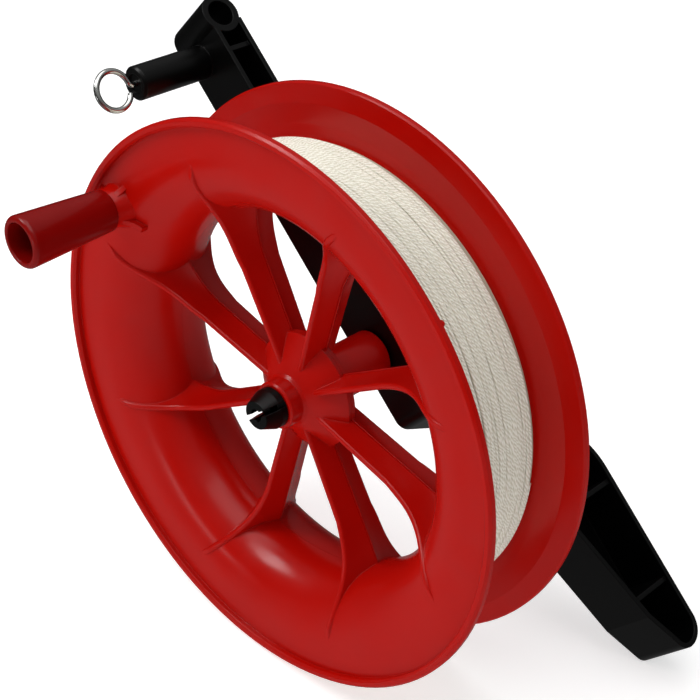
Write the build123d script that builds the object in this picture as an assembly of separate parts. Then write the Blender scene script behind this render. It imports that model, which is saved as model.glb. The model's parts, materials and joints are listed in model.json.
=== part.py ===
from build123d import *
import math
import os

# Kite line winder. All lengths in millimetres, all angles in degrees.
# It is drawn with the rims of its wheel and the end of its grip on one level, as if set on a table.
# X runs across the wheel towards the grip, Y along the axle from the crank side to the handle, Z is up.
# Everything is drawn about the middle of the wheel and moved to the table at the end.

# Wheel: two mirrored halves that meet at a seam across the middle of the barrel.
flange_radius = 100.0
flange_face = 21.4          # seam to the flange's outer face, also the radius of the dish
flange_wall = 2.0
flange_flat_width = 13.5    # flat ring of the flange outside the dish
lip_width = 3.0
lip_height = 2.4
lip_chamfer = 0.8
rim_thickness = 3.0
rim_bevel_width = 6.5       # ring where the back of the flange slopes to the back of the rim
rim_back_chamfer = 0.5
gate_nub_angle = 45.0       # place of the moulding nub on the rim, measured from X towards Z
gate_nub_radius = 1.2
gate_nub_height = 0.9

# Spokes: blades that are thick at the seam and narrow at the ridge, with tips that sweep over the dish.
spoke_count = 8
spoke_angle = 33.4          # first spoke, measured from X towards Z
spoke_seam_half = 2.9       # of the front half; the rear half is wider and leaves a ledge at the seam
seam_ledge = 0.5
spoke_root_half = 9.0       # half thickness where the blade runs out on the dish
spoke_ridge_half = 1.15
spoke_ridge_height = 8.2
spoke_hub_height = 7.4
sweep_start_radius = 46.0
sweep_end = 87.0            # measured along the blade
sweep_bend_radius = 68.0
ridge_rise = (0.0, 0.12, 0.40, 0.87, 0.975)    # climb of the ridge along the sweep, 1 is the flange's face
hub_edge_radius = 21.0
hub_edge_height = 1.4

# Hub and axle.
axle_radius = 6.0
running_clearance = 0.06
boss_radius = 8.4
boss_front = 15.5           # seam to the boss's front face
hub_tube_radius = 9.4
hub_mouth_chamfer = 0.6
end_play = 0.3
barb_radius = 7.1
barb_length = 2.4
tip_radius = 5.0
tip_length = 5.4
tip_bore_radius = 2.3
tip_bore_depth = 11.0
slot_width = 1.8
slot_depth = 7.6
slot_angle = 38.0
axle_head_radius = 8.4
axle_head_height = 1.8

# Crank knob and its post.
knob_inset = 13.2           # flange's edge to the middle of the knob
knob_angle = 148.15         # place of the knob, measured from X towards Z
knob_root = 26.4            # seam to the knob's root end
knob_length = 35.0
knob_tip_radius = 9.3
knob_root_radius = 7.4
knob_lip_round = 1.6
knob_root_round = 0.8
knob_bore_radius = 6.9
knob_bore_depth = 24.0
post_radius = 3.6
neck_top_radius = 6.4
neck_foot_radius = 8.2
fin_count = 4
fin_reach = 12.5
fin_wall = 2.0
fin_angle = 8.0             # fins against the line from the post to the axle
fin_hollow = 1.2
screw_hole_radius = 1.5
screw_hole_depth = 13.0
screw_fit = 0.05
screw_length = 12.0
screw_head_radius = 3.6
screw_head_height = 2.0
screw_cross_width = 0.9
screw_cross_depth = 1.2
washer_radius = 5.4
washer_wall = 0.8

# Handle: a side profile of constant depth, hollow and open along one long side.
handle_depth = 23.0
handle_back = -7.6          # closed side of the hollow, measured from the axle
handle_wall = 1.8
handle_web = 2.4
bar_front = 31.5            # seam to the bar's front wall
bar_thickness = 12.8
bar_top = -126.0            # measured along the bar from the axle, minus is up
hole_boss_along = -129.5
hole_boss_across = 37.3
hole_boss_radius = 7.2
hang_hole_radius = 4.8
step_along = 27.7           # where the front wall turns away from the wheel
step_run = 5.5
step_rise = 14.1
step_round = 5.0
grip_bend_along = 128.0
grip_bend_rise = 35.5       # bar's front wall to the bend in the grip's front wall
grip_end = 145.5
grip_end_rise = 43.2        # bar's front wall to the corner at the grip's end
grip_back_rise = 55.1       # bar's front wall to the grip's rear wall
grip_back_start = 64.0
grip_back_foot = 21.0
grip_back_round = 30.0
grip_end_front_round = 5.0
grip_end_back_round = 8.5
rib_wall = 1.8
rib_inset = 1.2             # ribs stop this far below the open edge
rib_places = (-116.5, -80.0, -45.0, 81.0, 121.0)
axle_boss_radius = 10.5

# Line guide: a peg on the bar that carries a screw eye.
peg_along = -120.3
peg_across = -0.6
peg_radius = 6.1
peg_length = 30.1
peg_chamfer = 0.8
peg_recess_radius = 3.6
peg_recess_depth = 0.8
eye_outer_radius = 7.8
eye_wire_radius = 1.05
eye_reach = 9.0             # end of the peg to the middle of the ring
eye_shank_length = 12.0     # part of the shank inside the peg
eye_bend_radius = 2.0
eye_closing_angle = 324.0   # how far the wire goes round the ring
eye_flat_angle = -18.5      # flat of the ring against the bar
eye_fit = 0.05

# Line: only the outer layer winds, over a plain core.
line_inset = 3.5            # edge of the dish to the top of the line
line_diameter = 1.15
line_turns = 22
line_sides = 4
line_side_gap = 0.4
line_clearance = 0.2
core_chords = 6

dish_centre_radius = flange_radius - flange_flat_width
knob_orbit_radius = flange_radius - knob_inset
line_radius = dish_centre_radius - line_inset
barrel_inner = dish_centre_radius - flange_face
groove_radius = flange_face - flange_wall
lip_face = flange_face + lip_height
rim_back = lip_face - rim_thickness
wall_middle = flange_face - flange_wall / 2
hub_tube_length = bar_front - end_play
barb_start = boss_front + end_play
knob_web = knob_length - knob_bore_depth
# The handle is turned until the grip's end corner is level with the rims.
handle_drop = math.degrees(
    math.asin(flange_radius / math.hypot(grip_end, handle_back)) - math.atan2(-handle_back, grip_end)
)


def turned(shape, angle):
    """The shape turned about the axle from X towards Z."""
    return Rot(0, -angle, 0) * shape


def on_orbit(shape):
    """The shape moved from the axle to the knob's place."""
    a = math.radians(knob_angle)
    return Pos(knob_orbit_radius * math.cos(a), 0, knob_orbit_radius * math.sin(a)) * shape


def ring_about_axle(edges):
    """A closed outline of radius and height turned about the axle."""
    return revolve(make_face(edges), axis=Axis.Y)


def lathe(points):
    """A turned piece from the corners of its outline, as radius and height."""
    return ring_about_axle(outline(points))


def outline(points):
    return [Line(a, b) for a, b in zip(points, points[1:] + points[:1])]


def rounded(corners):
    """Closed outline through corners (x, y, radius), each turned by an arc of its radius."""
    arcs, starts, ends = [], [], []
    count = len(corners)
    for i in range(count):
        before, here, after = (Vector(*corners[(i + k) % count][:2]) for k in (-1, 0, 1))
        radius = corners[i][2]
        back = (before - here).normalized()
        ahead = (after - here).normalized()
        half = math.radians(back.get_angle(ahead)) / 2
        starts.append(here + back * (radius / math.tan(half)))
        ends.append(here + ahead * (radius / math.tan(half)))
        if radius:
            middle = here + (back + ahead).normalized() * (radius / math.sin(half) - radius)
            arcs.append(ThreePointArc(starts[-1], middle, ends[-1]))
    return arcs + [Line(a, b) for a, b in zip(ends, starts[1:] + starts[:1])]


def rod(radius, start, end):
    """A round bar along the axle, between two heights."""
    return lathe([(0, start), (radius, start), (radius, end), (0, end)])


# ---- wheel -------------------------------------------------------------------------------------

def shell():
    """Dish, flange, lip and barrel wall of one half, from the seam outwards along +Y."""
    c = dish_centre_radius
    lip_inner = flange_radius - lip_width
    face = [
        (c, flange_face), (lip_inner, flange_face), (lip_inner, lip_face - lip_chamfer),
        (lip_inner + lip_chamfer, lip_face), (flange_radius - lip_chamfer, lip_face),
        (flange_radius, lip_face - lip_chamfer), (flange_radius, rim_back + rim_back_chamfer),
        (flange_radius - rim_back_chamfer, rim_back), (flange_radius - rim_bevel_width, groove_radius),
        (c, groove_radius),
    ]
    edges = [Line(a, b) for a, b in zip(face, face[1:])]
    edges += [
        CenterArc((c, 0), groove_radius, 90, 90),
        Line((c - groove_radius, 0), (barrel_inner, 0)),
        CenterArc((c, 0), flange_face, 90, 90),
    ]
    return ring_about_axle(edges)


def open_side(top):
    """Everything between the middle of the dish's wall and this height."""
    c = dish_centre_radius
    edges = [
        Line((0, 0), (c - wall_middle, 0)),
        CenterArc((c, 0), wall_middle, 90, 90),
        Line((c, wall_middle), (flange_radius, wall_middle)),
        Line((flange_radius, wall_middle), (flange_radius, top)),
        Line((flange_radius, top), (0, top)),
        Line((0, top), (0, 0)),
    ]
    return ring_about_axle(edges)


def sweep_point(distance):
    """Place and direction of a blade's centre line, straight at first and then curving back."""
    turn = max(0.0, distance - sweep_start_radius) / sweep_bend_radius
    x = min(distance, sweep_start_radius) + sweep_bend_radius * math.sin(turn)
    z = -sweep_bend_radius * (1 - math.cos(turn))
    return Vector(x, 0, z), Vector(math.cos(turn), 0, -math.sin(turn))


def blade_section(distance, height, foot_half):
    """Cross-section of a blade: wide foot on the seam, hollow flanks and a round ridge."""
    origin, along = sweep_point(distance)
    plane = Plane(origin=origin, x_dir=Vector(0, 1, 0).cross(along), z_dir=along)
    r = spoke_ridge_half
    shoulder = height - r
    waist = r + (foot_half - r) * 0.35
    face = make_face([
        Line((-foot_half, 0), (foot_half, 0)),
        Bezier((foot_half, 0), (waist, shoulder * 0.4), (r, shoulder)),
        ThreePointArc((r, shoulder), (0, height), (-r, shoulder)),
        Bezier((-r, shoulder), (-waist, shoulder * 0.4), (-foot_half, 0)),
    ])
    return (plane * face).face()


def blade(seam_half):
    """One spoke's half, from the hub out over the dish, cut off inside the wall of the dish."""
    straight = loft([
        blade_section(boss_radius - 1, spoke_hub_height, seam_half),
        blade_section(sweep_start_radius, spoke_ridge_height, seam_half),
    ])
    swept = []
    for i, rise in enumerate(ridge_rise):
        share = i / (len(ridge_rise) - 1)
        distance = sweep_start_radius + share * (sweep_end - sweep_start_radius)
        height = spoke_ridge_height + rise * (flange_face - spoke_ridge_height)
        foot = seam_half + (spoke_root_half - seam_half) * math.sin(share * math.pi / 2) ** 2
        swept.append(blade_section(distance, height, foot))
    return (straight + loft(swept)) & open_side(flange_face)


def hub_core(boss_end, boss_r):
    """Cone that the blades run into, with its boss, still without its bore."""
    top = spoke_ridge_height + 1.0
    return lathe([
        (0, 0), (hub_edge_radius, 0), (hub_edge_radius, hub_edge_height), (boss_r + 1.0, top),
        (boss_r, top + 1.0), (boss_r, boss_end - hub_mouth_chamfer),
        (boss_r - hub_mouth_chamfer, boss_end), (0, boss_end),
    ])


def wheel_half(boss_end, boss_r, seam_half):
    body = shell() + hub_core(boss_end, boss_r)
    one = blade(seam_half)
    for i in range(spoke_count):
        body += turned(one, spoke_angle + i * 360 / spoke_count)
    return body - rod(axle_radius + running_clearance, -1, boss_end + 1)


def knob_post():
    """Neck, crossed fins and bearing pin that the crank knob turns on."""
    neck_top = knob_root - end_play
    neck = lathe([
        (0, 0), (neck_foot_radius, 0), (neck_foot_radius, flange_face - 1), (neck_top_radius, neck_top),
        (0, neck_top),
    ])
    for i in range(fin_count):
        fin = extrude(Plane.XY * make_face([
            Line((0, 0), (fin_reach, 0)),
            Line((fin_reach, 0), (fin_reach, flange_face - 1)),
            ThreePointArc(
                (fin_reach, flange_face - 1),
                ((fin_reach + neck_top_radius) / 2 - fin_hollow, (flange_face + neck_top) / 2 - fin_hollow),
                (neck_top_radius, neck_top - 0.6),
            ),
            Line((neck_top_radius, neck_top - 0.6), (0, neck_top - 0.6)),
            Line((0, neck_top - 0.6), (0, 0)),
        ]), fin_wall / 2, both=True)
        neck += turned(fin, knob_angle + fin_angle + i * 360 / fin_count)
    foot = on_orbit(neck) & open_side(knob_root)
    pin = rod(post_radius, neck_top - 1, knob_root + knob_web + end_play)
    hole = rod(screw_hole_radius, post_end() - screw_hole_depth, post_end() + 1)
    return foot + on_orbit(pin), on_orbit(hole)


def post_end():
    return knob_root + knob_web + end_play


def to_front(shape):
    """The mirror image on the crank side."""
    return mirror(shape, about=Plane.XZ)


def wheel_front_half():
    post, hole = knob_post()
    nub = Pos(flange_radius - gate_nub_radius, rim_back, 0) * Sphere(gate_nub_radius)
    nub &= rod(flange_radius, rim_back - gate_nub_height, lip_face)
    body = wheel_half(boss_front, boss_radius, spoke_seam_half) + post - hole + turned(nub, gate_nub_angle)
    return to_front(body)


def wheel_rear_half():
    return wheel_half(hub_tube_length, hub_tube_radius, spoke_seam_half + seam_ledge)


# ---- crank knob ---------------------------------------------------------------------------------

def crank_knob():
    tip = knob_root + knob_length
    floor = knob_root + knob_web
    hole = post_radius + running_clearance
    body = ring_about_axle(rounded([
        (hole, knob_root, 0), (knob_root_radius, knob_root, knob_root_round),
        (knob_tip_radius, tip, knob_lip_round), (knob_bore_radius, tip, 0.5),
        (knob_bore_radius, floor, 0), (hole, floor, 0),
    ]))
    return to_front(on_orbit(body))


def knob_washer():
    low = post_end()
    body = lathe([
        (screw_hole_radius + screw_fit, low), (washer_radius, low),
        (washer_radius, low + washer_wall), (screw_hole_radius + screw_fit, low + washer_wall),
    ])
    return to_front(on_orbit(body))


def knob_screw():
    seat = post_end() + washer_wall
    head = seat + screw_head_height
    shank = screw_hole_radius - screw_fit
    body = lathe([
        (0, seat - screw_length), (shank, seat - screw_length + shank), (shank, seat),
        (screw_head_radius, seat), (screw_head_radius * 0.8, head), (0, head),
    ])
    for angle in (0, 90):
        bar = Box(screw_head_radius, 2 * screw_cross_depth, screw_cross_width)
        body -= turned(Pos(0, head, 0) * bar, angle)
    return to_front(on_orbit(body))


# ---- handle and axle ----------------------------------------------------------------------------

def profile():
    """Outline of the handle's side, along the bar and away from the wheel."""
    front = bar_front
    rear = bar_front + bar_thickness
    return rounded([
        (bar_top, front, 0),
        (step_along, front, step_round),
        (step_along + step_run, front + step_rise, step_round),
        (grip_bend_along, front + grip_bend_rise, 0),
        (grip_end, front + grip_end_rise, grip_end_front_round),
        (grip_end, front + grip_back_rise, grip_end_back_round),
        (grip_back_start, front + grip_back_rise, grip_back_round),
        (grip_back_foot, rear, grip_back_round),
        (bar_top, rear, 0),
    ])


def handle():
    side = make_face(profile())
    solid = Pos(0, 0, handle_back) * extrude(side, handle_depth)
    hollow_depth = handle_depth - handle_web
    hollow = Pos(0, 0, handle_back + handle_web) * extrude(offset(side, -handle_wall), hollow_depth)
    inside = solid & hollow
    body = solid - inside
    across = 2 * grip_back_rise
    for place in rib_places:
        rib = Pos(place, bar_front, handle_back) * Box(
            rib_wall, across, handle_depth - rib_inset, align=(Align.CENTER, Align.CENTER, Align.MIN)
        )
        body += rib & inside
    rear = bar_front + bar_thickness
    body += rod(axle_boss_radius, bar_front, rear) & inside
    boss = Pos(hole_boss_along, hole_boss_across, handle_back) * Cylinder(
        hole_boss_radius, handle_depth, align=(Align.CENTER, Align.CENTER, Align.MIN)
    )
    hole = Pos(hole_boss_along, hole_boss_across, handle_back) * Cylinder(hang_hole_radius, 3 * handle_depth)
    body = body + boss + peg() - hole
    body -= rod(axle_radius, bar_front - 1, rear + 1)
    return turned(body - eye_hole(), -handle_drop)


def peg_end():
    return bar_front - peg_length


def peg():
    low = peg_end()
    body = lathe([
        (0, low + peg_recess_depth), (peg_recess_radius, low + peg_recess_depth), (peg_recess_radius, low),
        (peg_radius - peg_chamfer, low), (peg_radius, low + peg_chamfer), (peg_radius, bar_front + 1),
        (0, bar_front + 1),
    ])
    return Pos(peg_along, 0, peg_across) * body


def eye_hole():
    low = peg_end()
    return Pos(peg_along, 0, peg_across) * rod(eye_wire_radius + eye_fit, low - 1, low + eye_shank_length)


def line_guide_eye():
    """Screw eye bent from one wire: a shank, a short bend out and the ring."""
    ring = eye_outer_radius - eye_wire_radius
    low = math.sqrt((ring + eye_bend_radius) ** 2 - eye_bend_radius**2)
    turn = math.degrees(math.atan2(low, eye_bend_radius))
    bottom = -(eye_reach + eye_shank_length)
    wire = Wire([
        Line((0, bottom), (0, -low)),
        CenterArc((eye_bend_radius, -low), eye_bend_radius, 180, -turn),
        CenterArc((0, 0), ring, -turn, eye_closing_angle),
    ])
    section = Plane(origin=(0, bottom, 0), z_dir=(0, 1, 0)) * Circle(eye_wire_radius)
    body = sweep(section, path=wire)
    facing = Rot(0, -eye_flat_angle, 0) * (Rot(0, 0, 180) * body)
    placed = Pos(peg_along, peg_end() - eye_reach, peg_across) * facing
    return turned(placed, -handle_drop)


def axle_pin():
    rear = bar_front + bar_thickness
    tip = -(barb_start + barb_length + tip_length)
    body = lathe([
        (0, rear + axle_head_height), (axle_head_radius - 0.5, rear + axle_head_height),
        (axle_head_radius, rear + axle_head_height - 0.5), (axle_head_radius, rear), (axle_radius, rear),
        (axle_radius, -barb_start), (barb_radius, -barb_start), (barb_radius, -barb_start - barb_length),
        (tip_radius, tip), (0, tip),
    ])
    body -= rod(tip_bore_radius, tip - 1, tip + tip_bore_depth)
    slot = Pos(0, tip, 0) * Box(3 * barb_radius, 2 * slot_depth, slot_width)
    return body - turned(slot, slot_angle)


# ---- line ---------------------------------------------------------------------------------------

def line_core():
    """Plain body of the wound line below its outer layer."""
    top = line_radius - line_diameter - line_clearance
    room = groove_radius - line_clearance
    widest = math.acos((dish_centre_radius - top) / room)
    points = []
    for i in range(core_chords + 1):
        a = widest * (2 * i / core_chords - 1)
        points.append((dish_centre_radius - room * math.cos(a), room * math.sin(a)))
    return lathe(points)


def winding_radius():
    return line_radius - line_diameter / 2


def winding_half_width():
    across = dish_centre_radius - winding_radius()
    return math.sqrt(groove_radius**2 - across**2) - line_diameter / 2 - line_side_gap


def helix_point(turn):
    """Point and direction on the winding, counted in turns from its first end."""
    radius = winding_radius()
    width = 2 * winding_half_width()
    a = 2 * math.pi * turn
    point = Vector(radius * math.cos(a), width * (turn / line_turns - 0.5), radius * math.sin(a))
    climb = width / line_turns / (2 * math.pi)
    return point, Vector(-radius * math.sin(a), climb, radius * math.cos(a)).normalized()


def biarc(start, start_way, end, end_way):
    """Two arcs that join two points and keep both directions."""
    span = end - start
    ways = start_way + end_way
    bend = 2 * (1 - start_way.dot(end_way))
    reach = (math.sqrt(span.dot(ways) ** 2 + bend * span.dot(span)) - span.dot(ways)) / bend
    joint = (start + start_way * reach + end - end_way * reach) * 0.5
    first = TangentArc(start, joint, tangent=start_way)
    return first, TangentArc(joint, end, tangent=first % 1)


def line_winding():
    steps = 2 * line_turns
    points = [helix_point(i / 2) for i in range(steps + 1)]
    first, first_way = points[0]
    last, last_way = points[-1]
    edges = [Line(first - first_way * line_diameter, first)]
    for (a, a_way), (b, b_way) in zip(points, points[1:]):
        edges += biarc(a, a_way, b, b_way)
    edges.append(Line(last, last + last_way * line_diameter))
    section = Plane(origin=first - first_way * line_diameter, z_dir=first_way, x_dir=(0, 1, 0))
    shape = section * RegularPolygon(line_diameter / 2, line_sides)
    return sweep(shape, path=Wire(edges))


def winding_gap():
    """Least gap between one turn and the next, measured on points."""
    fine = [helix_point(i / 48)[0] for i in range(48 * line_turns + 1)]
    nearest = min((fine[i] - fine[j]).length for i in range(0, 96) for j in range(i + 36, i + 61))
    return nearest - line_diameter


# ---- all pieces, set on the table ----------------------------------------------------------------

pieces = {
    "handle": handle(),
    "axle_pin": axle_pin(),
    "wheel_front_half": wheel_front_half(),
    "wheel_rear_half": wheel_rear_half(),
    "crank_knob": crank_knob(),
    "knob_screw": knob_screw(),
    "knob_washer": knob_washer(),
    "line_guide_eye": line_guide_eye(),
    "line_core": line_core(),
    "line_winding": line_winding(),
}

os.makedirs("parts", exist_ok=True)
everything = Compound([piece for shape in pieces.values() for piece in shape.solids()]).bounding_box()
middle = everything.center()
to_table = Pos(-middle.X, -middle.Y, -everything.min.Z)
for name, shape in pieces.items():
    export_step(to_table * shape, f"parts/{name}.step")
print("least gap of the winding", round(winding_gap(), 3))
print("size", everything.size, "shift", to_table.position)
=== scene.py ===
# %% [markdown]
# A kite line winder: a red flanged wheel that turns on a black handle, a hollow crank knob, white
# twisted line in the groove and a small zinc ring that guides it.
# The rigid pieces come from the engineering model and keep their exact shape. This file gives
# each of them the surface of its real material, and winds the outer layer of line as one long
# thread. All lengths in the code are metres, and MM turns a size in millimetres into metres.

# %% Load the model
import json
import math

import bmesh
import bpy
from mathutils import Matrix, Vector, noise


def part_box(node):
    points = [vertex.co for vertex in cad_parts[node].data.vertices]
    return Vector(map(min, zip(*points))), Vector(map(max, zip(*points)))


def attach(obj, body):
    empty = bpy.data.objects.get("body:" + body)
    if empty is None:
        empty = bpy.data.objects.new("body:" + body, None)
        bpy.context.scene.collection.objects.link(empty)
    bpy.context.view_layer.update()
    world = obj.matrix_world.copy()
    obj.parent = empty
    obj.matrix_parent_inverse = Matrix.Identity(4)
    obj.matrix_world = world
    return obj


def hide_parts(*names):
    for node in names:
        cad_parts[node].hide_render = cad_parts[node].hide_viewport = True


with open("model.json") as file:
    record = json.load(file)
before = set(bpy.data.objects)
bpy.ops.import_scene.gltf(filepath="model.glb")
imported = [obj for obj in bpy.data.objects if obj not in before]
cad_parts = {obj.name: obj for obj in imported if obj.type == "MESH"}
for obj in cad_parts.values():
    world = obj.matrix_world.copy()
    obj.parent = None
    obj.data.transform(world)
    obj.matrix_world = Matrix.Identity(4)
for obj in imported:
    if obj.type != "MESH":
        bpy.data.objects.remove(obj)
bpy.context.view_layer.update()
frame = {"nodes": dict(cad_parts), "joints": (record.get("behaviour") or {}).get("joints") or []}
MM = 0.001
nodes = frame["nodes"]
joints = {joint["name"]: joint for joint in frame["joints"]}
axle = Vector(joints["wheel_spin"]["pos_m"])
scene = bpy.context.scene
print("pieces in the model:", sorted(nodes))
print("middle of the wheel:", [round(v / MM, 2) for v in axle], "mm")

# %% [markdown]
# The camera stands where the photographer stood: on the crank side, to the right and well above
# the wheel. Its numbers come from the outlines of the two rims in the photograph. A round rim
# seen at an angle is an ellipse, and its width, height and tilt fix the camera's direction. The
# focal length follows from how much smaller the far rim looks than the near one.
# A camera looks along its own minus Z, with Y up. It could be aimed at an empty with a Track To
# constraint. Here the direction is turned into a rotation once, and the tilt of the picture is one
# more turn about the same axis, so the numbers say plainly where the camera stands.

# %% Camera
PHOTO_SIDE = 700
SENSOR_WIDTH = 36
FOCAL_PIXELS = 1559.5
CAMERA_AZIMUTH = 42.11
CAMERA_HEIGHT = 33.95
CAMERA_ROLL = -4.38
CAMERA_DISTANCE = 525.7 * MM
AIM_BESIDE_AXLE = Vector((4.5, 14.7, 11.6)) * MM


def look_from(azimuth, height):
    """Direction from the wheel to something at this azimuth and height above the horizon."""
    a, e = math.radians(azimuth), math.radians(height)
    return Vector((math.sin(a) * math.cos(e), -math.cos(a) * math.cos(e), math.sin(e)))


camera_data = bpy.data.cameras.new("camera")
camera = bpy.data.objects.new("camera", camera_data)
scene.collection.objects.link(camera)
scene.camera = camera
camera_data.sensor_width = SENSOR_WIDTH
camera_data.lens = FOCAL_PIXELS * camera_data.sensor_width / PHOTO_SIDE
camera_data.clip_start = 10 * MM
camera_data.dof.use_dof = False
towards_camera = look_from(CAMERA_AZIMUTH, CAMERA_HEIGHT)
level = (-towards_camera).to_track_quat("-Z", "Y")
tilted = Matrix.Rotation(math.radians(-CAMERA_ROLL), 4, "Z")
stand = Matrix.Translation(axle + AIM_BESIDE_AXLE + towards_camera * CAMERA_DISTANCE)
camera.matrix_world = stand @ level.to_matrix().to_4x4() @ tilted
print("lens", round(camera_data.lens, 1), "mm, camera", [round(v, 3) for v in camera.location])

# %% [markdown]
# Colours are written as sRGB hex values, as a paint program shows them, and one function turns
# them into the linear values that shaders work in. The Standard view transform keeps a colour's
# hex value in the render. A filmic one would be kinder to bright lamps, but it greys the white
# ground.

# %% Colours
scene.view_settings.view_transform = "Standard"
scene.view_settings.look = "None"


def to_linear(hex_colour):
    """An sRGB hex colour as the linear RGBA that shaders work in."""
    channels = []
    for i in (1, 3, 5):
        c = int(hex_colour[i:i + 2], 16) / 255
        channels.append(c / 12.92 if c <= 0.04045 else ((c + 0.055) / 1.055) ** 2.4)
    return (*channels, 1.0)


print("mid grey in linear light:", round(to_linear("#808080")[0], 3))

# %% [markdown]
# Every finish below is a small tree of shader nodes. It could be drawn by hand in the shader
# editor. In code, one function adds a node, sets its values and makes its links, so that a finish
# reads as a list of what goes into what. Patterns are laid out in the object's own metres, so
# that a size in millimetres can be given for each. A colour Mix node keeps its two colours in
# inputs 6 and 7 and gives the mixed colour as output 2.

# %% Node helper
COLOUR_A, COLOUR_B, MIXED_COLOUR = 6, 7, 2


def add(tree, kind, values=None, links=None, **settings):
    """Adds one node: settings are its properties, values its inputs, links what feeds it."""
    node = tree.nodes.new(kind)
    for key, value in settings.items():
        setattr(node, key, value)
    for key, value in (values or {}).items():
        node.inputs[key].default_value = value
    for key, output in (links or {}).items():
        tree.links.new(output, node.inputs[key])
    return node


def new_material(name):
    """An empty material, its tree, and the place on the object in real metres."""
    material = bpy.data.materials.new(name)
    material.use_nodes = True
    tree = material.node_tree
    tree.nodes.clear()
    place = add(tree, "ShaderNodeTexCoord")
    return material, tree, place.outputs["Object"]


def per_metre(millimetres):
    """Texture scale that repeats about once in this many millimetres."""
    return 1000.0 / millimetres


print("a pattern of 5 mm has a scale of", per_metre(5))

# %% [markdown]
# The winder stands free on pure white, as in a catalogue. In a studio that is white paper under
# it, a white wall behind it and large soft lamps. Glossy plastic mirrors all that is around it,
# and in a room that is white on every side the red would turn pink, while in the photograph it is
# deep. So what the camera sees and what the plastic mirrors are set apart.
# The surround is what the plastic mirrors: nearly black at the level of the horizon, with a soft
# glow from above, as of a ceiling, and a weaker one from below, as of a table. An image of a
# studio could do the same. A gradient on the height of the direction is simpler to read and to
# adjust: its height is 1 straight up, 0 at the horizon and -1 straight down.

# %% Surround
TABLE_GLOW = 0.16
HORIZON_GLOW, CEILING_GLOW = 0.02, 0.32
world = bpy.data.worlds.new("surround")
world.use_nodes = True
scene.world = world
surround = world.node_tree
surround.nodes.clear()
direction = add(surround, "ShaderNodeTexCoord").outputs["Generated"]
height = add(surround, "ShaderNodeSeparateXYZ", links={"Vector": direction}).outputs["Z"]
from_table = add(surround, "ShaderNodeMapRange",
                 {"From Min": -0.2, "From Max": -0.55, "To Min": 0.0, "To Max": TABLE_GLOW},
                 {"Value": height})
from_room = add(surround, "ShaderNodeMapRange",
                {"From Min": 0.1, "From Max": 0.7, "To Min": HORIZON_GLOW, "To Max": CEILING_GLOW},
                {"Value": height})
both = add(surround, "ShaderNodeMath",
           links={0: from_table.outputs["Result"], 1: from_room.outputs["Result"]},
           operation="ADD")
sky = add(surround, "ShaderNodeBackground", {"Color": to_linear("#FFFFFF")},
          {"Strength": both.outputs["Value"]})
add(surround, "ShaderNodeOutputWorld", links={"Surface": sky.outputs["Background"]})
print("glow from the ceiling", CEILING_GLOW, "and from the table", TABLE_GLOW)

# %% [markdown]
# The ground is a wide sheet of white paper, matt and slightly uneven in tone. Real fibres are far
# too fine to show, so the unevenness is drawn 6 mm wide. Soft lamps would leave the sheet light
# grey, while the photograph's ground is plain white, so the sheet glows a little by itself: less
# under the winder, where a faint shadow has to stay, and more further off.
# Glossy rays pass it by, because the dish would
# mirror it as a grey veil over the red.

# %% Paper floor
STAGE_RADIUS = 12.0
FLOOR_DROP = 0.5 * MM
FLOOR_SIDES = 64
GLOW_NEAR, GLOW_FAR = 0.61, 0.95
GLOW_FROM, GLOW_TO = 0.5, 1.8


def stage_object(name, shape, material):
    """Makes an object of the stage from a bmesh."""
    mesh = bpy.data.meshes.new(name)
    shape.to_mesh(mesh)
    shape.free()
    piece = bpy.data.objects.new(name, mesh)
    scene.collection.objects.link(piece)
    mesh.materials.append(material)
    return piece


paper, tree, place = new_material("pale_paper")
fibre = add(tree, "ShaderNodeTexNoise", {"Scale": per_metre(6)}, {"Vector": place})
shade = add(tree, "ShaderNodeMix",
            {COLOUR_A: to_linear("#DCDCDC"), COLOUR_B: to_linear("#E2E2E2")},
            {0: fibre.outputs["Fac"]}, data_type="RGBA")
reach = add(tree, "ShaderNodeVectorMath", links={0: place}, operation="LENGTH")
glow = add(tree, "ShaderNodeMapRange",
           {"From Min": GLOW_FROM, "From Max": GLOW_TO, "To Min": GLOW_NEAR, "To Max": GLOW_FAR},
           {"Value": reach.outputs["Value"]})
sheet = add(tree, "ShaderNodeBsdfPrincipled",
            {"Roughness": 0.9, "Emission Color": to_linear("#FFFFFF")},
            {"Base Color": shade.outputs[MIXED_COLOUR],
             "Emission Strength": glow.outputs["Result"]})
add(tree, "ShaderNodeOutputMaterial", links={"Surface": sheet.outputs["BSDF"]})

disc = bmesh.new()
bmesh.ops.create_circle(disc, cap_ends=True, segments=FLOOR_SIDES, radius=STAGE_RADIUS)
floor = stage_object("floor", disc, paper)
floor.location.z = -FLOOR_DROP
floor.visible_glossy = False
print("floor", round(floor.dimensions.x, 1), "m wide")

# %% [markdown]
# Seen from low down, the ground ends in a horizon. A photographer hides it with a roll of paper
# that curves up behind the object, and retouches the rest. Here a dome as wide as the floor
# stands round everything and gives plain white to the camera alone: no other ray sees it, so it
# neither lights the winder nor shows in the gloss.

# %% White backdrop
white_backdrop, tree, _ = new_material("white_backdrop")
lit = add(tree, "ShaderNodeEmission", {"Color": to_linear("#FFFFFF"), "Strength": 1.0})
add(tree, "ShaderNodeOutputMaterial", links={"Surface": lit.outputs["Emission"]})
dome = bmesh.new()
bmesh.ops.create_icosphere(dome, subdivisions=3, radius=STAGE_RADIUS)
backdrop = stage_object("backdrop", dome, white_backdrop)
backdrop.visible_diffuse = False
backdrop.visible_glossy = False
backdrop.visible_transmission = False
backdrop.visible_shadow = False
print("backdrop", round(backdrop.dimensions.z, 1), "m high")

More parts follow.
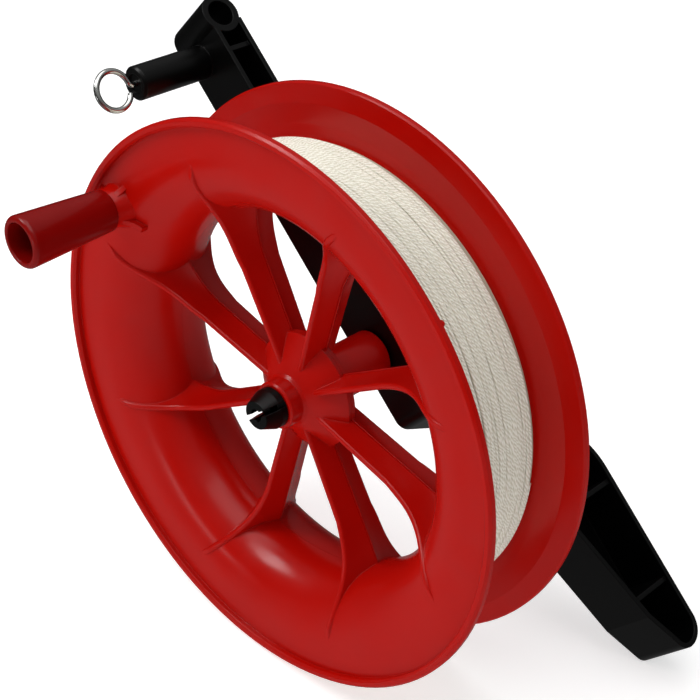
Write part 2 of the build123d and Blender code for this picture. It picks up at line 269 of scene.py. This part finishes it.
# %% [markdown]
# Three rectangular lamps stand for the photographer's soft boxes. The large one overhead lights
# the whole softly. The smaller one at the upper left makes the long highlight low in the dish. A
# weak strip low in front puts a thin light on the dish's lower curve. A point lamp or the sun
# would make small hard highlights: on gloss, the eye reads the shape of the lamp itself, so each
# has the size of the real thing, in metres. The camera doesn't see them, because from other sides
# they would stand in the picture.


# %% Light panels
def panel(name, azimuth, height, distance, width, depth, power):
    """A rectangular lamp that faces the wheel, its sizes in metres and its power in watts."""
    data = bpy.data.lights.new(name, "AREA")
    data.shape = "RECTANGLE"
    data.size, data.size_y = width, depth
    data.energy = power
    lamp = bpy.data.objects.new(name, data)
    scene.collection.objects.link(lamp)
    direction = look_from(azimuth, height)
    lamp.location = axle + direction * distance
    lamp.rotation_euler = (-direction).to_track_quat("-Z", "Y").to_euler()
    lamp.visible_camera = False
    return lamp


lamps = [
    panel("top_panel", azimuth=-20, height=80, distance=1.3, width=1.4, depth=1.4, power=12),
    panel("key_panel", azimuth=-45, height=40, distance=1.1, width=0.36, depth=0.3, power=3.2),
    panel("low_strip", azimuth=-13, height=-4, distance=0.6, width=0.25, depth=0.05, power=0.14),
]
print("lamps:", [(lamp.name, round(lamp.data.energy, 2)) for lamp in lamps])

# %% [markdown]
# The wheel and the knob are injection-moulded ABS, a hard plastic with its colour all through. A
# polished mould leaves it glossy, with a roughness of about 0.2, and its index of refraction is
# near 1.53. Three things tell the eye that it is a moulding. The walls sink a little as they
# cool, so a wide highlight wavers: that is a faint bump, some centimetres wide. The gloss itself
# is a little cloudy. And no edge is sharp: a mould leaves about half a millimetre of rounding,
# which catches a thin line of light. The model's edges are sharp, and a Bevel node rounds them in
# the shading alone. The reds stay deep in the photograph, so the specular level is below the
# usual 0.5. The knob's red is darker than the wheel's. Part of that is its own darker plastic,
# and part is painted shade, because the knob stands in shade.

# %% Red moulded ABS
ABS_IOR = 1.53
ABS_SPECULAR = 0.23
EDGE_ROUND = 0.45 * MM
EDGE_SAMPLES = 6
SINK_DEPTH = 0.25 * MM


def moulded_abs(name, shade, deep, sink_mm, cloud_mm):
    """Glossy ABS: sink_mm is the width of its waves, cloud_mm that of its changes of gloss."""
    material, tree, place = new_material(name)
    sink = add(tree, "ShaderNodeTexNoise", {"Scale": per_metre(sink_mm), "Detail": 2.0},
               {"Vector": place})
    tone = add(tree, "ShaderNodeMix", {COLOUR_A: to_linear(deep), COLOUR_B: to_linear(shade)},
               {0: sink.outputs["Fac"]}, data_type="RGBA")
    cloud = add(tree, "ShaderNodeTexNoise", {"Scale": per_metre(cloud_mm), "Detail": 3.0},
                {"Vector": place})
    gloss = add(tree, "ShaderNodeMapRange",
                {"From Min": 0.35, "From Max": 0.7, "To Min": 0.2, "To Max": 0.27},
                {"Value": cloud.outputs["Fac"]})
    edges = add(tree, "ShaderNodeBevel", {"Radius": EDGE_ROUND}, samples=EDGE_SAMPLES)
    waves = add(tree, "ShaderNodeBump", {"Strength": 0.06, "Distance": SINK_DEPTH},
                {"Height": sink.outputs["Fac"], "Normal": edges.outputs["Normal"]})
    shader = add(tree, "ShaderNodeBsdfPrincipled",
                 {"IOR": ABS_IOR, "Specular IOR Level": ABS_SPECULAR},
                 {"Base Color": tone.outputs[MIXED_COLOUR], "Roughness": gloss.outputs["Result"],
                  "Normal": waves.outputs["Normal"]})
    add(tree, "ShaderNodeOutputMaterial", links={"Surface": shader.outputs["BSDF"]})
    return material


wheel_abs = moulded_abs("red_moulded_abs_wheel", "#B90B03", "#AF0902", sink_mm=40, cloud_mm=12)
# The knob's darker reds are partly its own plastic and partly painted shade.
knob_abs = moulded_abs("red_moulded_abs_knob", "#860604", "#7A0503", sink_mm=18, cloud_mm=8)
print("made", wheel_abs.name, "and", knob_abs.name)

# %% [markdown]
# The handle and the axle pin are moulded polypropylene: black, slightly waxy, and less glossy
# than ABS, with an index of refraction near 1.49. Their mould was lightly grained, which spreads
# the highlight along an edge. Real grain of this kind is about 0.2 mm wide, too fine for this
# picture, so it is drawn 0.9 mm wide and very shallow.

# %% Black moulded polypropylene
POLYPROPYLENE_IOR = 1.49
POLYPROPYLENE_SPECULAR = 0.22
GRAIN_DEPTH = 0.04 * MM


def moulded_polypropylene(name, shade, grain_mm, haze_mm):
    """Satin polypropylene: grain_mm is the width of its grain, haze_mm of its dull patches."""
    material, tree, place = new_material(name)
    grain = add(tree, "ShaderNodeTexNoise", {"Scale": per_metre(grain_mm), "Detail": 4.0},
                {"Vector": place})
    haze = add(tree, "ShaderNodeTexNoise", {"Scale": per_metre(haze_mm), "Detail": 2.0},
               {"Vector": place})
    gloss = add(tree, "ShaderNodeMapRange", {"To Min": 0.26, "To Max": 0.36},
                {"Value": haze.outputs["Fac"]})
    edges = add(tree, "ShaderNodeBevel", {"Radius": EDGE_ROUND}, samples=EDGE_SAMPLES)
    relief = add(tree, "ShaderNodeBump", {"Strength": 0.1, "Distance": GRAIN_DEPTH},
                 {"Height": grain.outputs["Fac"], "Normal": edges.outputs["Normal"]})
    shader = add(tree, "ShaderNodeBsdfPrincipled",
                 {"Base Color": to_linear(shade), "IOR": POLYPROPYLENE_IOR,
                  "Specular IOR Level": POLYPROPYLENE_SPECULAR},
                 {"Roughness": gloss.outputs["Result"], "Normal": relief.outputs["Normal"]})
    add(tree, "ShaderNodeOutputMaterial", links={"Surface": shader.outputs["BSDF"]})
    return material


handle_black = moulded_polypropylene("black_moulded_polypropylene", "#040404",
                                     grain_mm=0.9, haze_mm=15)
print("made", handle_black.name)

# %% [markdown]
# The screw eye, the screw and the washer are steel with a thin plating of zinc. Plating leaves a
# cool, slightly cloudy mirror: fully metallic, with the roughness wavering over a millimetre or
# two. The bright plating is on the eye, and the screw and washer, which are rubbed by the knob,
# are duller.

# %% Zinc plated steel
CLOUD_DEPTH = 0.03 * MM


def zinc_plated_steel(name, shade, roughness, cloud_mm):
    """Plated steel: cloud_mm is the width of the changes in its shine."""
    material, tree, place = new_material(name)
    cloud = add(tree, "ShaderNodeTexNoise", {"Scale": per_metre(cloud_mm), "Detail": 4.0},
                {"Vector": place})
    gloss = add(tree, "ShaderNodeMapRange",
                {"To Min": roughness - 0.06, "To Max": roughness + 0.08},
                {"Value": cloud.outputs["Fac"]})
    relief = add(tree, "ShaderNodeBump", {"Strength": 0.1, "Distance": CLOUD_DEPTH},
                 {"Height": cloud.outputs["Fac"]})
    shader = add(tree, "ShaderNodeBsdfPrincipled",
                 {"Base Color": to_linear(shade), "Metallic": 1.0},
                 {"Roughness": gloss.outputs["Result"], "Normal": relief.outputs["Normal"]})
    add(tree, "ShaderNodeOutputMaterial", links={"Surface": shader.outputs["BSDF"]})
    return material


bright_zinc = zinc_plated_steel("bright_zinc_plate", "#D2D3D0", roughness=0.16, cloud_mm=1.5)
dull_zinc = zinc_plated_steel("dull_zinc_plate", "#A5A6A2", roughness=0.35, cloud_mm=1.5)
print("made", bright_zinc.name, "and", dull_zinc.name)

# %% [markdown]
# The two halves of the wheel are of one plastic, the handle and its pin of another, and the
# hardware is metal. Where a piece has several finishes, its faces are sorted into material slots.
# Every piece here is of one material, so each keeps its mesh as it is and gets one slot.


# %% Finish the rigid pieces
def dress(node, material):
    """Gives one piece of the model its finish."""
    slots = nodes[node].data.materials
    slots.clear()
    slots.append(material)


FINISHES = {
    "wheel_front_half": wheel_abs,
    "wheel_rear_half": wheel_abs,
    "crank_knob": knob_abs,
    "handle": handle_black,
    "axle_pin": handle_black,
    "line_guide_eye": bright_zinc,
    "knob_screw": dull_zinc,
    "knob_washer": dull_zinc,
}
for node, material in FINISHES.items():
    dress(node, material)
print("finished:", sorted(FINISHES))

# %% [markdown]
# The line is polyester yarn, three plies twisted together. Each ply goes once round the line in
# its lay, here 5.2 mm, so a groove between two plies crosses the line every 1.7 mm. That could be
# modelled as three strands wound round each other, but fifteen metres of line would take hundreds
# of thousands of faces. At this distance slanted bands of two close tones and a bump are enough.
# The darker tone lies in the grooves between the plies and is painted shade.
# The bands are drawn in the thread's own coordinates: metres along it, and turns round it. Soft
# line never lies with an even twist, so a noise shifts the bands by up to 1.4 twists. Fine fibres
# stand off the yarn and catch the light at grazing angles, which is what the sheen is for.

# %% Twisted polyester line
PLIES = 3
TWIST_DRIFT = 1.4
PLY_DEPTH = 0.15 * MM


def twisted_polyester(name, light, dark, lay_mm, drift_mm):
    """Twisted line: lay_mm is the length of one twist, drift_mm how often the twist wavers."""
    material, tree, _ = new_material(name)
    thread = add(tree, "ShaderNodeUVMap", uv_map="thread")
    split = add(tree, "ShaderNodeSeparateXYZ", links={"Vector": thread.outputs["UV"]})
    along, around = split.outputs["X"], split.outputs["Y"]
    drift = add(tree, "ShaderNodeTexNoise", {"Scale": per_metre(drift_mm), "Detail": 2.0},
                {"W": along}, noise_dimensions="1D")
    twists = add(tree, "ShaderNodeMath", {1: 1.0 / (lay_mm * MM)}, {0: along, 2: around},
                 operation="MULTIPLY_ADD")
    uneven = add(tree, "ShaderNodeMath", {1: TWIST_DRIFT},
                 {0: drift.outputs["Fac"], 2: twists.outputs[0]}, operation="MULTIPLY_ADD")
    angle = add(tree, "ShaderNodeMath", {1: 2 * math.pi * PLIES}, {0: uneven.outputs[0]},
                operation="MULTIPLY")
    wave = add(tree, "ShaderNodeMath", links={0: angle.outputs[0]}, operation="SINE")
    ply = add(tree, "ShaderNodeMapRange", {"From Min": -1.0, "From Max": 1.0},
              {"Value": wave.outputs[0]})
    # The dark tone falls in the grooves between the plies: painted shade.
    tone = add(tree, "ShaderNodeMix", {COLOUR_A: to_linear(dark), COLOUR_B: to_linear(light)},
               {0: ply.outputs["Result"]}, data_type="RGBA")
    relief = add(tree, "ShaderNodeBump", {"Strength": 0.6, "Distance": PLY_DEPTH},
                 {"Height": ply.outputs["Result"]})
    shader = add(tree, "ShaderNodeBsdfPrincipled",
                 {"Roughness": 0.7, "Sheen Weight": 0.2, "Sheen Roughness": 0.5},
                 {"Base Color": tone.outputs[MIXED_COLOUR], "Normal": relief.outputs["Normal"]})
    add(tree, "ShaderNodeOutputMaterial", links={"Surface": shader.outputs["BSDF"]})
    return material


line_finish = twisted_polyester("white_twisted_polyester", "#FEFDF2", "#DEDAC7",
                                lay_mm=5.2, drift_mm=12)
print("made", line_finish.name)

# %% [markdown]
# The line fills the groove between the flanges, and only its outer layer shows. That layer is one
# thread about 1.27 mm thick, which goes round 29 times side by side from one flange to the other,
# as the spacing of the grooves in the photograph gives. Hand winding is never even, so each turn
# strays sideways over a long wave, quivers over a short one, and lies a little higher here and
# lower there. Smooth noise on the circle gives this and closes on itself without a jump.

# %% Sizes of the winding
THREAD_RADIUS = 1.27 / 2 * MM
WINDING_RADIUS = 83.0 * MM - THREAD_RADIUS
TURNS = 29
STEPS_PER_TURN = 144
THREAD_SIDES = 6
SPREAD = 0.97
STRAY_MM, QUIVER_MM = 0.6, 0.15
SEAT, LIFT = 0.2 * MM, 0.35 * MM
core_low, core_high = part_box("line_core")
half_width = (core_high.y - core_low.y) / 2 - THREAD_RADIUS
winding_middle = (core_high.y + core_low.y) / 2
print("groove", round((core_high.y - core_low.y) / MM, 1), "mm wide, pitch",
      round(2 * half_width / TURNS / MM, 2), "mm")


# %% Path of the thread
def unevenness(angle, turn, waves, change, start):
    """Smooth noise: waves sets how often it changes in a turn, change how fast over the turns."""
    return noise.noise(Vector((math.cos(angle) * waves, math.sin(angle) * waves,
                               start + turn * change)))


def thread_point(step):
    """Centre of the thread after this many steps."""
    turn = step / STEPS_PER_TURN
    a = 2 * math.pi * turn
    stray = unevenness(a, turn, waves=1.6, change=0.55, start=0)
    quiver = unevenness(a, turn, waves=9.0, change=1.7, start=20)
    lift = unevenness(a, turn, waves=2.5, change=1.9, start=40)
    radius = WINDING_RADIUS - SEAT + LIFT * lift
    even = winding_middle + half_width * (2 * turn / TURNS - 1) * SPREAD
    y = even + (STRAY_MM * stray + QUIVER_MM * quiver) * MM
    return axle + Vector((radius * math.cos(a), y - axle.y, radius * math.sin(a)))


path = [thread_point(step) for step in range(TURNS * STEPS_PER_TURN + 1)]
print("path of", len(path), "points")

# %% [markdown]
# The thread could be a curve with a round bevel. A tube in mesh code is as short, and each corner
# of its faces can be given real coordinates, which the finish needs to lay the plies: the length
# along the thread in metres and the turn round it. Six sides are enough for so thin a thread with
# smooth shading. Both ends are closed, and lie close to the flanges.
# The winding rides on the wheel and stands for the plain outer layer of the model.


# %% Wind the thread
def tube(name, points, radius, sides):
    """A tube along points, and the length of its path."""
    shape = bmesh.new()
    coordinates = shape.loops.layers.uv.new("thread")
    rings, lengths, gone = [], [], 0.0
    for i, point in enumerate(points):
        ahead = points[min(i + 1, len(points) - 1)] - points[max(i - 1, 0)]
        outward = Vector((point.x - axle.x, 0, point.z - axle.z)).normalized()
        side = ahead.cross(outward).normalized()
        ring = []
        for k in range(sides):
            t = 2 * math.pi * k / sides
            reach = (outward * math.cos(t) + side * math.sin(t)) * radius
            ring.append(shape.verts.new(point + reach))
        rings.append(ring)
        if i:
            gone += (point - points[i - 1]).length
        lengths.append(gone)
    for i in range(len(rings) - 1):
        here, there = rings[i], rings[i + 1]
        for k in range(sides):
            after = (k + 1) % sides
            face = shape.faces.new((here[k], here[after], there[after], there[k]))
            face.smooth = True
            uv = ((lengths[i], k / sides), (lengths[i], (k + 1) / sides),
                  (lengths[i + 1], (k + 1) / sides), (lengths[i + 1], k / sides))
            for loop, value in zip(face.loops, uv):
                loop[coordinates].uv = value
    shape.faces.new(reversed(rings[0]))
    shape.faces.new(rings[-1])
    mesh = bpy.data.meshes.new(name)
    shape.to_mesh(mesh)
    shape.free()
    piece = bpy.data.objects.new(name, mesh)
    scene.collection.objects.link(piece)
    return piece, gone


winding, wound = tube("wound_line", path, THREAD_RADIUS, THREAD_SIDES)
winding.data.materials.append(line_finish)
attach(winding, "wheel")
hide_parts("line_winding")
print("outer layer:", TURNS, "turns,", round(wound, 1), "m of line")

# %% [markdown]
# Under the outer layer a plain drum stands for the rest of the line. It shows only as a pale
# ground in the gaps between two turns, so it is the same polyester, darker because it lies in
# shade, with one ring of bump for each thread. A Wave texture draws 20 / (2 pi), about 3.2, bands
# where other textures repeat once, so its scale is divided by that.

# %% Line under the outer layer
BANDS_PER_REPEAT = 20 / (2 * math.pi)
RING_DEPTH = 0.3 * MM


def packed_polyester(name, shade, thread_mm):
    """Wound line seen from afar: thread_mm is the distance from ring to ring."""
    material, tree, place = new_material(name)
    rings = add(tree, "ShaderNodeTexWave",
                {"Scale": per_metre(thread_mm) / BANDS_PER_REPEAT, "Distortion": 0.4},
                {"Vector": place}, bands_direction="Y")
    relief = add(tree, "ShaderNodeBump", {"Strength": 0.5, "Distance": RING_DEPTH},
                 {"Height": rings.outputs["Fac"]})
    shader = add(tree, "ShaderNodeBsdfPrincipled",
                 {"Base Color": to_linear(shade), "Roughness": 0.85},
                 {"Normal": relief.outputs["Normal"]})
    add(tree, "ShaderNodeOutputMaterial", links={"Surface": shader.outputs["BSDF"]})
    return material


packed_line = packed_polyester("packed_polyester", "#BDB8A2", thread_mm=1.3)
dress("line_core", packed_line)
print("made", packed_line.name)
